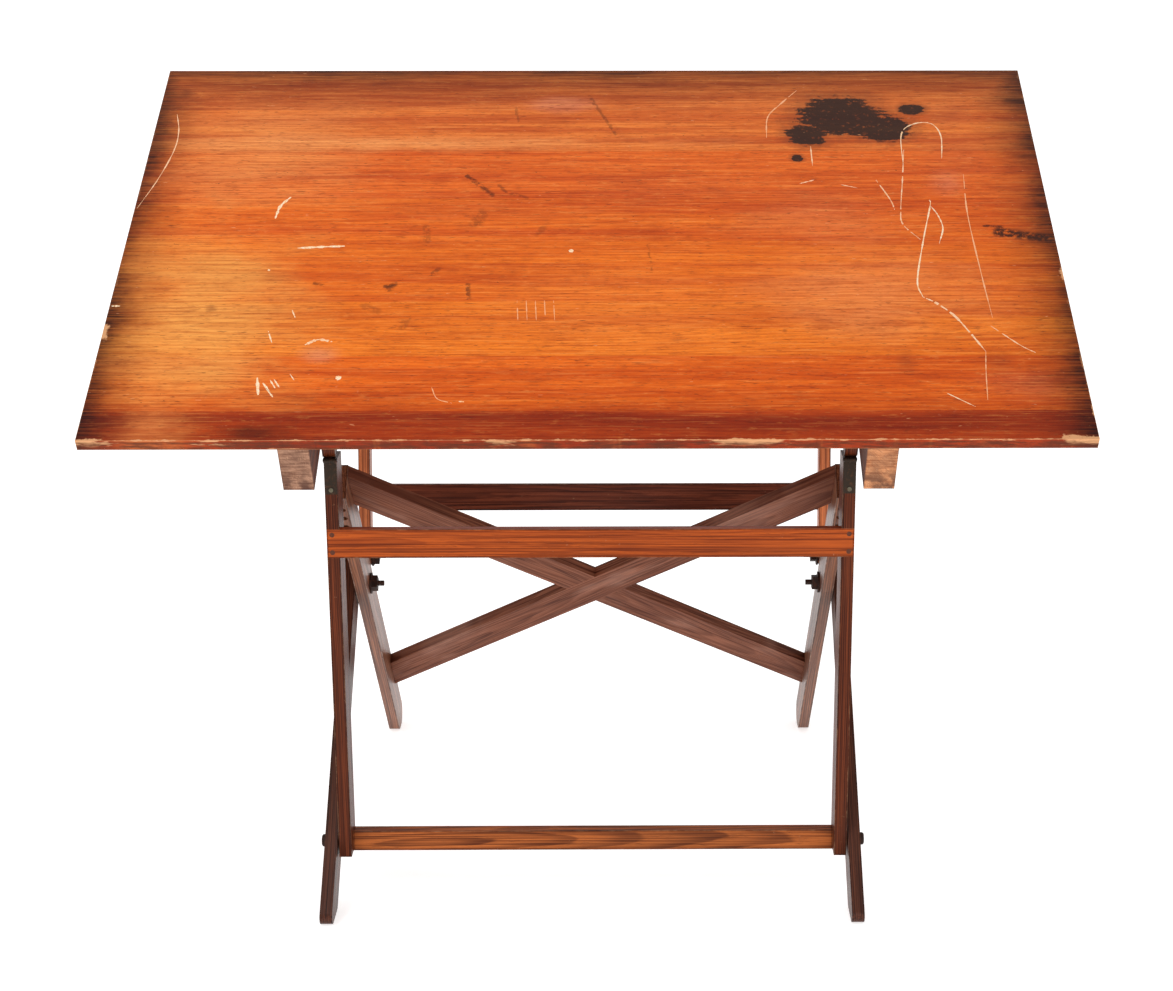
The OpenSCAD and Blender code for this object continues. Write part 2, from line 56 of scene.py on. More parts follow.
def low_high(node):
    """The lowest and highest corners of a node's box."""
    low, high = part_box(node)
    return Vector(low), Vector(high)


plank_low, plank_high = low_high("plank_1")
BOARD_ORIGIN = (0.0, plank_low.y, plank_low.z + BOARD_T * math.cos(BOARD_TILT))
HALF_W = plank_high.x
BOARD_D = (low_high("plank_8")[1].z - BOARD_ORIGIN[2]) / math.sin(BOARD_TILT)
BOARD_PLACE = (BOARD_ORIGIN, BOARD_TILT)


def frame_of(node, angle):
    """The place of a member: its middle on the table's centre plane, and its angle."""
    low, high = low_high(node)
    return (0.0, (low.y + high.y) / 2, (low.z + high.z) / 2), angle


def local_bounds(node, place):
    """The member's lowest and highest corners in its own frame."""
    origin, angle = place
    mesh = NODES[node].data
    points = np.empty(len(mesh.vertices) * 3)
    mesh.vertices.foreach_get("co", points)
    points = points.reshape(-1, 3) - np.array(origin)
    c, s = math.cos(angle), math.sin(angle)
    turned = np.stack(
        [points[:, 0], c * points[:, 1] + s * points[:, 2], -s * points[:, 1] + c * points[:, 2]],
        axis=1,
    )
    return turned.min(axis=0), turned.max(axis=0)


# ---------------------------------------------------------------- shader graphs

COAT_ROUGHNESS = 0.22
BUMP_STRENGTH = 0.6


class Graph:
    """A material being built from maths on the member's own coordinates."""

    def __init__(self, name):
        self.material = bpy.data.materials.new(name)
        self.material.use_nodes = True
        self.tree = self.material.node_tree
        self.tree.nodes.clear()
        self.output = self.node("ShaderNodeOutputMaterial")
        self.shader = self.node("ShaderNodeBsdfPrincipled")
        self.tree.links.new(self.shader.outputs[0], self.output.inputs[0])

    def node(self, kind, **settings):
        made = self.tree.nodes.new(kind)
        for key, value in settings.items():
            setattr(made, key, value)
        return made

    def feed(self, socket, value):
        if isinstance(value, bpy.types.NodeSocket):
            self.tree.links.new(value, socket)
        else:
            socket.default_value = value

    def math(self, operation, a, b=0.0, clamp=False):
        made = self.node("ShaderNodeMath", operation=operation, use_clamp=clamp)
        for socket, value in zip(made.inputs, (a, b)):
            self.feed(socket, value)
        return made.outputs[0]

    def add(self, a, b):
        return self.math("ADD", a, b)

    def sub(self, a, b):
        return self.math("SUBTRACT", a, b)

    def mul(self, a, b, clamp=False):
        return self.math("MULTIPLY", a, b, clamp=clamp)

    def clamped(self, value):
        """The value kept between 0 and 1."""
        return self.mul(value, 1.0, clamp=True)

    def most(self, *values):
        result = values[0]
        for value in values[1:]:
            result = self.math("MAXIMUM", result, value)
        return result

    def least(self, *values):
        result = values[0]
        for value in values[1:]:
            result = self.math("MINIMUM", result, value)
        return result

    def step(self, x, low, high):
        """0 below low, 1 above high, smooth between; low may be above high."""
        made = self.node("ShaderNodeMapRange", interpolation_type="SMOOTHSTEP")
        self.feed(made.inputs["Value"], x)
        self.feed(made.inputs["From Min"], low)
        self.feed(made.inputs["From Max"], high)
        return made.outputs["Result"]

    def vector(self, x, y, z):
        made = self.node("ShaderNodeCombineXYZ")
        for socket, value in zip(made.inputs, (x, y, z)):
            self.feed(socket, value)
        return made.outputs[0]

    def noise(self, x, y, z, detail=2.0, roughness=0.5):
        made = self.node("ShaderNodeTexNoise")
        self.feed(made.inputs["Vector"], self.vector(x, y, z))
        made.inputs["Scale"].default_value = 1.0
        made.inputs["Detail"].default_value = detail
        made.inputs["Roughness"].default_value = roughness
        return made.outputs["Fac"]

    def speckle(self, point, scale, detail=2.0, roughness=0.5):
        """Noise of the same scale along all three axes."""
        return self.noise(*[self.mul(value, scale) for value in point], detail, roughness)

    def drawn(self, point, along_scale, across_scale, detail=2.0):
        """Noise drawn out along the first axis, as wood fibres are."""
        along, across, out = point
        return self.noise(self.mul(along, along_scale), self.mul(across, across_scale),
                          self.mul(out, across_scale), detail)

    def centred(self, noise):
        """A noise from about -0.5 to 0.5."""
        return self.sub(noise, 0.5)

    def mix(self, amount, a, b, blend="MIX"):
        made = self.node("ShaderNodeMix", data_type="RGBA", blend_type=blend)
        self.feed(made.inputs["Factor"], amount)
        self.feed(made.inputs["A"], a)
        self.feed(made.inputs["B"], b)
        return made.outputs["Result"]

    def tint(self, amount, colour, shade):
        """Darken a colour by a multiplied shade."""
        return self.mix(amount, colour, shade, blend="MULTIPLY")

    def object_point(self):
        """The object's own coordinates, as one socket."""
        return self.node("ShaderNodeTexCoord").outputs["Object"]

    def split(self, point):
        """The three parts of a point, each as a socket."""
        made = self.node("ShaderNodeSeparateXYZ")
        self.feed(made.inputs[0], point)
        return made.outputs[0], made.outputs[1], made.outputs[2]

    def local(self, place):
        """Coordinates in a member's frame, as three sockets."""
        origin, angle = place
        mapping = self.node("ShaderNodeMapping", vector_type="TEXTURE")
        mapping.inputs["Location"].default_value = origin
        mapping.inputs["Rotation"].default_value = (angle, 0.0, 0.0)
        self.feed(mapping.inputs["Vector"], self.object_point())
        return self.split(mapping.outputs[0])

    def edge_distance(self, point, low, high):
        """How far a point of a box's surface is from the box's nearest edge."""
        a, b, c = [
            self.least(self.sub(value, float(lowest)), self.sub(float(highest), value))
            for value, lowest, highest in zip(point, low, high)
        ]
        return self.least(self.most(a, b), self.most(b, c), self.most(a, c))

    def length(self, x, y):
        """The length of a plane vector."""
        return self.math("SQRT", self.add(self.mul(x, x), self.mul(y, y)))

    def segment_distance(self, x, y, start, end):
        """Distance in the plane from (x, y) to a straight segment."""
        run = (end[0] - start[0], end[1] - start[1])
        squared = run[0] ** 2 + run[1] ** 2
        px, py = self.sub(x, start[0]), self.sub(y, start[1])
        along = self.add(self.mul(px, run[0] / squared), self.mul(py, run[1] / squared))
        along = self.clamped(along)
        dx = self.sub(px, self.mul(along, run[0]))
        dy = self.sub(py, self.mul(along, run[1]))
        return self.length(dx, dy)

    def ellipse(self, x, y, centre, radii):
        """1 at the middle of an ellipse, 0 on its outline, negative outside."""
        dx = self.mul(self.sub(x, centre[0]), 1 / radii[0])
        dy = self.mul(self.sub(y, centre[1]), 1 / radii[1])
        return self.sub(1.0, self.length(dx, dy))

    def finish(self, colour, roughness, height, relief=0.0004, coat=0.0, metallic=0.0,
               specular=0.15):
        """Wire up the shader. The studio is bright, so a low specular keeps dark tones dark."""
        self.feed(self.shader.inputs["Base Color"], colour)
        self.feed(self.shader.inputs["Roughness"], roughness)
        self.shader.inputs["Metallic"].default_value = metallic
        self.shader.inputs["Specular IOR Level"].default_value = specular
        self.shader.inputs["Coat Weight"].default_value = coat
        self.shader.inputs["Coat Roughness"].default_value = COAT_ROUGHNESS
        bump = self.node("ShaderNodeBump")
        bump.inputs["Strength"].default_value = BUMP_STRENGTH
        bump.inputs["Distance"].default_value = relief
        self.feed(bump.inputs["Height"], height)
        self.feed(self.shader.inputs["Normal"], bump.outputs[0])
        return self.material


def linear(red, green, blue):
    """A colour named in 0 to 255 display values, as linear light."""

    def one(value):
        value /= 255.0
        return value / 12.92 if value <= 0.04045 else ((value + 0.055) / 1.055) ** 2.4

    return (one(red), one(green), one(blue), 1.0)


# Shades that are multiplied in
LINE_SHADE = (0.32, 0.25, 0.24, 1.0)
SOILED_SHADE = (0.32, 0.26, 0.26, 1.0)
GRAIN_SHADE = (0.72, 0.52, 0.40, 1.0)
THREAD_SHADE = (0.62, 0.42, 0.32, 1.0)
DULL_SHADE = (0.70, 0.52, 0.40, 1.0)
SMUDGE_SHADE = (0.64, 0.48, 0.40, 1.0)
HANDLED_SHADE = (0.085, 0.080, 0.085, 1.0)
RED_FRONT_SHADE = (0.42, 0.26, 0.30, 1.0)
BURNT_SHADE = (0.16, 0.13, 0.13, 1.0)
BRACE_LINE_SHADE = (0.32, 0.24, 0.22, 1.0)
BRACE_EDGE_SHADE = (0.30, 0.24, 0.24, 1.0)

# Near-black fillings, in linear light
PORE_DIRT = (0.012, 0.006, 0.004, 1.0)
GRIME = (0.02, 0.009, 0.006, 1.0)
CLEAT_PORE_DIRT = (0.02, 0.01, 0.006, 1.0)
SCALE_GRIT = (0.004, 0.003, 0.003, 1.0)


# ---------------------------------------------------------------- wood


def grain(g, along, across, out, spacing, depth, slope, seed, wander=0.006):
    """Late wood, fibres and pores, each from 0 to 1, for a board sawn from a trunk.

    The rings are a spacing apart, about a heart that lies a depth under the face and rises by
    a slope.
    """
    shift = seed * 3.17
    bend = g.centred(g.noise(g.mul(along, 1.6), g.mul(across, 5.0), shift))
    waver = g.centred(g.noise(g.mul(along, 9.0), g.mul(across, 60.0), shift + 5.0, detail=3.0))
    middle = g.add(across, g.mul(bend, wander * 6))
    down = g.add(g.add(out, depth), g.mul(along, slope))
    radius = g.add(g.length(middle, down), g.mul(waver, wander))
    ring = g.math("FRACT", g.mul(radius, 1.0 / spacing))
    late = g.mul(g.step(ring, 0.15, 0.82), g.step(ring, 1.0, 0.88))
    fibre = g.drawn((along, across, out), 14.0, 900.0, detail=3.0)
    pore_noise = g.drawn((along, across, out), 70.0, 1700.0, detail=1.0)
    pores = g.mul(g.step(pore_noise, 0.60, 0.72), g.step(ring, 0.45, 0.05))
    return late, fibre, pores


def wood(
    name,
    node,
    place,
    light,
    dark,
    grain_along="y",
    spacing=0.0045,
    depth=0.05,
    slope=0.03,
    seed=1.0,
    gloss=0.32,
    coat=0.015,
    wear=0.5,
    wear_colour=(196, 150, 112),
    grime=0.4,
    shine=0.16,
):
    """Varnished oak on one member, with worn edges and grime in its own frame."""
    g = Graph(name)
    x, y, z = point = g.local(place)
    low, high = local_bounds(node, place)
    along, across = (y, x) if grain_along == "y" else (x, y)
    fibres_way = (along, across, z)
    late, fibre, pores = grain(g, *fibres_way, spacing, depth, slope, seed)

    # The varnished grain
    tone = g.noise(g.mul(along, 2.3), g.mul(across, 14.0), seed * 7.7, detail=3.0)
    streak = g.drawn(fibres_way, 3.0, 190.0)
    lines = g.drawn(fibres_way, 4.0, 470.0)
    shade = g.add(g.mul(late, 0.48), g.mul(g.step(streak, 0.35, 0.7), 0.40))
    shade = g.add(shade, g.mul(g.step(fibre, 0.3, 0.75), 0.16))
    colour = g.mix(g.clamped(shade), linear(*light), linear(*dark))
    colour = g.tint(g.mul(g.step(lines, 0.49, 0.60), 0.68), colour, LINE_SHADE)
    colour = g.mix(g.mul(pores, 0.55), colour, PORE_DIRT)
    colour = g.mix(g.mul(g.step(tone, 0.45, 0.75), grime), colour, GRIME)

    # Knocks all over, dirt beside the edges, and bare wood on them
    knocks = g.speckle(point, 70.0, detail=4.0, roughness=0.75)
    colour = g.mix(g.mul(g.step(knocks, 0.66, 0.76), 0.40), colour, linear(*wear_colour))
    edge = g.edge_distance(point, low, high)
    rub = g.speckle(point, 45.0, detail=4.0, roughness=0.7)
    worn = g.mul(g.step(g.add(edge, g.mul(rub, 0.006)), 0.0042, 0.0025), wear)
    soiled = g.step(g.sub(edge, g.mul(rub, 0.0030)), 0.0016, 0.0)
    colour = g.tint(g.mul(soiled, 0.65), colour, SOILED_SHADE)
    colour = g.mix(worn, colour, linear(*wear_colour))

    dents = g.speckle(point, 120.0)
    height = g.sub(g.mul(fibre, 0.35), g.mul(g.step(lines, 0.48, 0.64), 0.7))
    height = g.sub(height, g.add(pores, g.mul(g.step(dents, 0.66, 0.8), 0.8)))
    roughness = g.add(g.add(g.mul(streak, 0.22), gloss), g.mul(worn, 0.3))
    return g.finish(colour, roughness, height, coat=coat, specular=shine)


def dress(node, material):
    """Give every material slot of a CAD node the same finish."""
    mesh = NODES[node].data
    if not mesh.materials:
        mesh.materials.append(material)
    for index in range(len(mesh.materials)):
        mesh.materials[index] = material


SHARP_EDGE = math.radians(40)


def soften(node, width):
    """Round a CAD node's sharp edges a little, as use and sanding do."""
    bevel = NODES[node].modifiers.new("worn_edges", "BEVEL")
    bevel.width = width
    bevel.segments = 2
    bevel.limit_method = "ANGLE"
    bevel.angle_limit = SHARP_EDGE
    bevel.harden_normals = False


# ---------------------------------------------------------------- the board

# Per plank, front to back: light and dark colour, ring spacing, depth of the heart, and slope
PLANKS = [
    ((210, 81, 17), (168, 53, 7), 0.0030, 0.030, 0.010),
    ((244, 115, 25), (220, 91, 15), 0.0042, 0.060, 0.012),
    ((250, 133, 35), (228, 107, 23), 0.0062, 0.012, 0.060),
    ((248, 125, 31), (226, 101, 23), 0.0036, 0.090, 0.010),
    ((246, 121, 33), (222, 93, 23), 0.0050, 0.050, 0.020),
    ((242, 115, 37), (218, 91, 27), 0.0034, 0.080, 0.008),
    ((246, 135, 57), (214, 99, 37), 0.0040, 0.060, 0.014),
    ((234, 125, 55), (200, 93, 37), 0.0032, 0.090, 0.008),
]

# Dark smears and burns on the face, as (start, end, half width, strength), in metres. The places
# were read off the photo, and a scratch script turned them into distances on the board.
DARK_STROKES = [
    ((-0.213, 0.643), (-0.168, 0.590), 0.0040, 0.70),
    ((-0.008, 0.874), (0.039, 0.761), 0.0030, 0.45),
    ((0.092, 0.457), (0.098, 0.393), 0.0020, 0.35),
    ((0.674, 0.489), (0.753, 0.473), 0.0120, 0.95),
    ((0.651, 0.506), (0.679, 0.503), 0.0035, 0.80),
    ((-0.197, 0.358), (-0.194, 0.322), 0.0035, 0.60),
    ((-0.328, 0.352), (-0.314, 0.355), 0.0045, 0.65),
    ((-0.442, 0.361), (-0.432, 0.357), 0.0040, 0.60),
    ((-0.255, 0.384), (-0.247, 0.396), 0.0040, 0.50),
    ((-0.192, 0.513), (-0.181, 0.540), 0.0100, 0.32),
    ((-0.273, 0.505), (-0.269, 0.469), 0.0060, 0.35),
    ((-0.157, 0.615), (-0.143, 0.595), 0.0030, 0.45),
    ((-0.143, 0.595), (-0.109, 0.583), 0.0030, 0.40),
    ((-0.090, 0.486), (-0.080, 0.499), 0.0060, 0.30),
    ((-0.323, 0.345), (-0.316, 0.362), 0.0060, 0.50),
    ((-0.357, 0.307), (-0.338, 0.294), 0.0070, 0.28),
    ((-0.295, 0.253), (-0.288, 0.273), 0.0060, 0.30),
    ((-0.137, 0.838), (-0.131, 0.799), 0.0022, 0.35),
]

# A generic ink spill at the rear right: soft blots as (centre, radii), in metres
INK_BLOTS = [
    ((0.425, 0.815), (0.085, 0.062)),
    ((0.505, 0.775), (0.060, 0.040)),
    ((0.370, 0.760), (0.040, 0.034)),
    ((0.560, 0.835), (0.026, 0.018)),
    ((0.350, 0.690), (0.014, 0.012)),
]

# Chips that show bare wood at the board's edges, as (centre, radii)
CHIPS = [
    ((-0.760, -0.004), (0.060, 0.014)),
    ((0.758, -0.004), (0.060, 0.016)),
    ((-0.764, 0.245), (0.014, 0.026)),
    ((0.240, -0.002), (0.070, 0.006)),
    ((-0.130, -0.002), (0.030, 0.004)),
    ((-0.560, -0.002), (0.040, 0.003)),
    ((0.764, 0.380), (0.010, 0.024)),
]

# Knots, as (centre, radius)
KNOTS = [((-0.722, 0.884), 0.020), ((-0.600, 0.300), 0.014), ((0.305, 0.245), 0.006)]

# Cloudy patches of wear, as (centre, radii, colour, strength); the pale yellow ones on the left
# half are painted sheen
PATCHES = [
    ((-0.61, 0.27), (0.24, 0.34), (255, 182, 92), 0.75),
    ((-0.66, 0.03), (0.09, 0.06), (226, 130, 66), 0.85),
    ((-0.56, 0.70), (0.26, 0.24), (250, 160, 88), 0.60),
    ((0.46, 0.33), (0.26, 0.17), (250, 160, 96), 0.50),
    ((0.05, 0.30), (0.30, 0.16), (250, 140, 58), 0.35),
    ((0.68, 0.12), (0.12, 0.05), (196, 96, 62), 0.60),
    ((0.49, 0.17), (0.03, 0.05), (150, 62, 26), 0.45),
    ((0.63, 0.17), (0.05, 0.04), (150, 66, 30), 0.40),
    ((0.62, 0.82), (0.07, 0.06), (196, 108, 62), 0.35),
    ((-0.30, 0.735), (0.62, 0.032), (255, 170, 100), 0.75),
    ((-0.06, 0.85), (0.09, 0.03), (236, 150, 116), 0.55),
    ((0.60, 0.62), (0.05, 0.05), (240, 160, 128), 0.35),
    ((0.40, 0.52), (0.20, 0.10), (240, 138, 84), 0.40),
    ((-0.42, 0.19), (0.05, 0.03), (226, 160, 128), 0.45),
    ((0.12, 0.60), (0.24, 0.07), (196, 78, 34), 0.40),
    ((0.62, 0.70), (0.10, 0.10), (206, 96, 50), 0.40),
    ((-0.20, 0.55), (0.30, 0.05), (206, 88, 34), 0.35),
]


# Dark handled borders, as (reach, rim, how ragged): a wide grey fade and a darker rim
LEFT_BORDER = (0.105, 0.046, 1.0)
RIGHT_BORDER = (0.120, 0.050, 1.0)
REAR_BORDER = (0.125, 0.038, 0.45)
RED_FRONT_REACH = 0.125
BURNT_CORNER = ((-0.50, 0.020), (0.12, 0.040))


class BoardFace(Graph):
    """One plank's material: its own grain, then the marks that the whole board shares."""

    def __init__(self, index):
        super().__init__("board_plank_%d_varnish" % (index + 1))
        self.x, self.s, self.z = self.local(BOARD_PLACE)
        self.seed = index * 1.7 + 0.9
        self.light, self.dark, spacing, depth, slope = PLANKS[index]
        low, high = local_bounds("plank_%d" % (index + 1), BOARD_PLACE)
        middle = float(low[1] + high[1]) / 2
        across = self.sub(self.s, middle + 0.012 * math.sin(self.seed * 5))
        self.late, self.fibre, self.pores = grain(
            self, self.x, across, self.z, spacing, depth, slope, self.seed, wander=0.004
        )
        self.streak = self.flat_noise(2.2, 120.0, self.seed, detail=3.0)
        self.cloud = self.flat_noise(5.0, 9.0, 2.0, detail=5.0, roughness=0.6)
        self.fine = self.flat_noise(90.0, 90.0, 1.0, detail=4.0, roughness=0.65)
        self.threads = self.flat_noise(9.0, 330.0, self.seed + 6.0, detail=3.0, roughness=0.6)
        self.wobble = self.centred(self.cloud)

    def flat_noise(self, x_scale, s_scale, layer, detail=2.0, roughness=0.5):
        """Noise in the plane of the face; another layer is another pattern."""
        x, s = self.mul(self.x, x_scale), self.mul(self.s, s_scale)
        return self.noise(x, s, layer, detail, roughness)

    def union(self, blots):
        """The highest of several ellipses, each (centre, radii)."""
        return self.most(*[self.ellipse(self.x, self.s, *blot) for blot in blots])

    def varnish(self):
        """The varnish's tone: the plank's own, then the worn and faded patches, and the painted
        sheen on the left half.
        """
        band = self.flat_noise(1.1, 34.0, self.seed + 4.0)
        colour = self.mix(self.step(band, 0.35, 0.68), linear(*self.light), linear(*self.dark))
        # Patches of wear, and pale yellow patches of painted sheen over the left half
        for centre, radii, tint, strength in PATCHES:
            patch = self.ellipse(self.x, self.s, centre, radii)
            patch = self.step(self.add(patch, self.mul(self.wobble, 1.6)), 0.0, 1.0)
            colour = self.mix(self.mul(patch, strength), colour, linear(*tint))
        return colour

    def wood_shade(self):
        """How dark the wood is, from its late wood, fibres and streaks."""
        shade = self.add(self.mul(self.late, 0.34),
                         self.mul(self.step(self.fibre, 0.3, 0.75), 0.22))
        return self.clamped(self.add(shade, self.mul(self.step(self.streak, 0.36, 0.72), 0.36)))

    def grained(self, colour, shade):
        """The wood that shows through the varnish, and the dirt and smudges in it."""
        colour = self.tint(shade, colour, GRAIN_SHADE)
        dark_threads = self.mul(self.step(self.threads, 0.50, 0.66), 0.50)
        colour = self.tint(dark_threads, colour, THREAD_SHADE)
        pale_threads = self.mul(self.step(self.threads, 0.46, 0.32), 0.22)
        colour = self.mix(pale_threads, colour, linear(255, 172, 92))
        dashes = self.flat_noise(60.0, 520.0, self.seed + 2.0)
        colour = self.mix(self.mul(self.step(dashes, 0.60, 0.72), 0.62), colour,
                          linear(112, 42, 16))
        grit = self.flat_noise(34.0, 150.0, self.seed + 8.0, detail=4.0, roughness=0.75)
        colour = self.mix(self.mul(self.step(grit, 0.50, 0.74), 0.42), colour, linear(150, 62, 24))
        colour = self.mix(self.mul(self.step(grit, 0.46, 0.26), 0.30), colour, linear(255, 168, 84))
        colour = self.mix(self.mul(self.pores, 0.35), colour, linear(110, 44, 18))
        colour = self.tint(self.mul(self.step(self.cloud, 0.48, 0.80), 0.45), colour, DULL_SHADE)
        smudge = self.flat_noise(13.0, 26.0, 5.0, detail=5.0, roughness=0.7)
        colour = self.tint(self.mul(self.step(smudge, 0.50, 0.70), 0.38), colour, SMUDGE_SHADE)
        scuff = self.mul(self.step(self.fine, 0.60, 0.78), self.step(self.cloud, 0.52, 0.36))
        return self.mix(self.mul(scuff, 0.22), colour, linear(246, 178, 130))

    def knots(self, colour):
        for centre, radius in KNOTS:
            heart = self.ellipse(self.x, self.s, centre, (radius, radius))
            heart = self.add(heart, self.mul(self.centred(self.fine), 0.8))
            colour = self.mix(self.mul(self.step(heart, 0.0, 0.9), 0.48), colour,
                              linear(120, 50, 22))
        return colour

    def borders(self, colour):
        """Dark handled borders, a redder front, and a burnt patch at the front left."""
        ragged = self.add(self.mul(self.wobble, 0.120), self.mul(self.centred(self.streak), 0.022))
        ragged = self.add(ragged, self.mul(self.centred(self.fine), 0.016))
        greys = []
        for inward, (reach, rim, roughly) in (
            (self.add(self.x, HALF_W), LEFT_BORDER),
            (self.sub(HALF_W, self.x), RIGHT_BORDER),
            (self.sub(BOARD_D, self.s), REAR_BORDER),
        ):
            inward = self.add(inward, self.mul(ragged, roughly))
            fade = self.mul(self.step(inward, reach, 0.0), 0.60)
            greys.append(self.add(fade, self.mul(self.step(inward, rim, -0.02), 0.45)))
        broken = self.add(0.80, self.mul(self.step(self.threads, 0.34, 0.62), 0.22))
        border = self.mul(self.most(*greys), broken, clamp=True)
        colour = self.tint(border, colour, HANDLED_SHADE)

        red = self.step(self.add(self.s, self.mul(ragged, 0.7)), RED_FRONT_REACH, 0.01)
        weaker_left = self.add(0.35, self.mul(self.step(self.x, -0.60, -0.42), 0.65))
        colour = self.tint(self.mul(self.mul(red, 0.58), weaker_left), colour, RED_FRONT_SHADE)

        burnt = self.add(self.ellipse(self.x, self.s, *BURNT_CORNER), self.mul(self.wobble, 2.0))
        return self.tint(self.mul(self.step(burnt, 0.1, 0.8), 0.75), colour, BURNT_SHADE)

    def dark_strokes(self, colour):
        x = self.add(self.x, self.mul(self.centred(self.fine), 0.014))
        s = self.add(self.s, self.mul(self.centred(self.streak), 0.014))
        broken = self.step(self.fine, 0.36, 0.54)
        for begin, end, width, strength in DARK_STROKES:
            near = self.step(self.segment_distance(x, s, begin, end), width * 1.5, width * 0.5)
            near = self.mul(self.mul(near, strength), broken)
            colour = self.mix(near, colour, linear(52, 22, 12))
        return colour

    def ink_spill(self, colour):
        """Dried ink, with a brown halo soaked into the wood around it."""
        feather = self.add(self.mul(self.wobble, 1.5), self.mul(self.centred(self.fine), 0.7))
        feather = self.add(feather, self.mul(self.centred(self.streak), 0.9))
        spill = self.add(self.union(INK_BLOTS), feather)
        halo = self.mul(self.step(spill, -0.45, 0.15), 0.45)
        colour = self.mix(halo, colour, linear(116, 56, 30))
        ink = self.mul(self.step(spill, 0.10, 0.24), self.step(self.fine, 0.86, 0.55))
        return self.mix(self.mul(ink, 0.94), colour, linear(40, 27, 22))

    def nicks(self, colour):
        """Fine pale and dark nicks all over."""
        nick = self.flat_noise(55.0, 300.0, 3.3)
        colour = self.mix(self.mul(self.step(nick, 0.73, 0.78), 0.5), colour, linear(246, 176, 124))
        pit = self.flat_noise(150.0, 200.0, 9.1, detail=1.0)
        return self.mix(self.mul(self.step(pit, 0.77, 0.81), 0.7), colour, linear(70, 30, 14))

    def bare_wood(self):
        """Where the varnish has worn off the arrises, and chipped off near the corners."""
        x, s, z = point = (self.x, self.s, self.z)
        edge = self.edge_distance(point, (-HALF_W, 0.0, -BOARD_T), (HALF_W, BOARD_D, 0.0))
        chip = self.noise(self.mul(x, 26.0), self.mul(s, 26.0), self.mul(z, 150.0),
                          detail=5.0, roughness=0.7)
        bare = self.sub(edge, self.mul(self.step(chip, 0.44, 0.76), 0.0046))
        bare = self.step(bare, 0.0010, -0.0006)
        bare = self.mul(bare, self.add(0.15, self.mul(self.step(s, 0.30, 0.0), 0.75)))
        shallow = self.step(self.add(z, self.mul(chip, 0.016)), -0.006, 0.001)
        chipped = self.add(self.union(CHIPS), self.mul(self.centred(chip), 2.6))
        return self.most(bare, self.mul(self.step(chipped, 0.15, 0.42), shallow))

    def dirty_faces(self, colour):
        """The front and side faces are bruised and dirtier than the top."""
        x, s, z = self.x, self.s, self.z
        below = self.mul(self.step(z, -0.0015, -0.0050), 0.85)
        bruise = self.noise(self.mul(x, 22.0), self.mul(s, 22.0), self.mul(z, 140.0),
                            detail=4.0, roughness=0.7)
        below = self.mul(below, self.step(bruise, 0.66, 0.40))
        return self.mix(below, colour, linear(84, 38, 18))

    def underside(self, colour, shade):
        """None of the marks, only a thin brown stain over the grain."""
        plain = self.mix(shade, linear(150, 88, 54), linear(98, 52, 32))
        dark_threads = self.mul(self.step(self.threads, 0.50, 0.66), 0.5)
        plain = self.mix(dark_threads, plain, linear(70, 36, 24))
        clouds = self.mul(self.step(self.cloud, 0.45, 0.75), 0.35)
        plain = self.mix(clouds, plain, linear(78, 44, 32))
        return self.mix(self.step(self.z, -BOARD_T + 0.0014, -BOARD_T + 0.0006), colour, plain)

    def build(self):
        shade = self.wood_shade()
        colour = self.grained(self.varnish(), shade)
        for mark in (self.knots, self.borders, self.dark_strokes, self.ink_spill, self.nicks):
            colour = mark(colour)
        bare = self.bare_wood()
        colour = self.mix(self.mul(bare, 0.85), colour, linear(224, 166, 118))
        colour = self.underside(self.dirty_faces(colour), shade)
        height = self.add(self.mul(self.pores, 0.7), self.mul(bare, 1.2))
        height = self.sub(self.mul(self.fibre, 0.30), height)
        roughness = self.add(self.add(self.mul(self.cloud, 0.20), 0.30), self.mul(bare, 0.30))
        return self.finish(colour, roughness, height, relief=0.0003, specular=0.12)
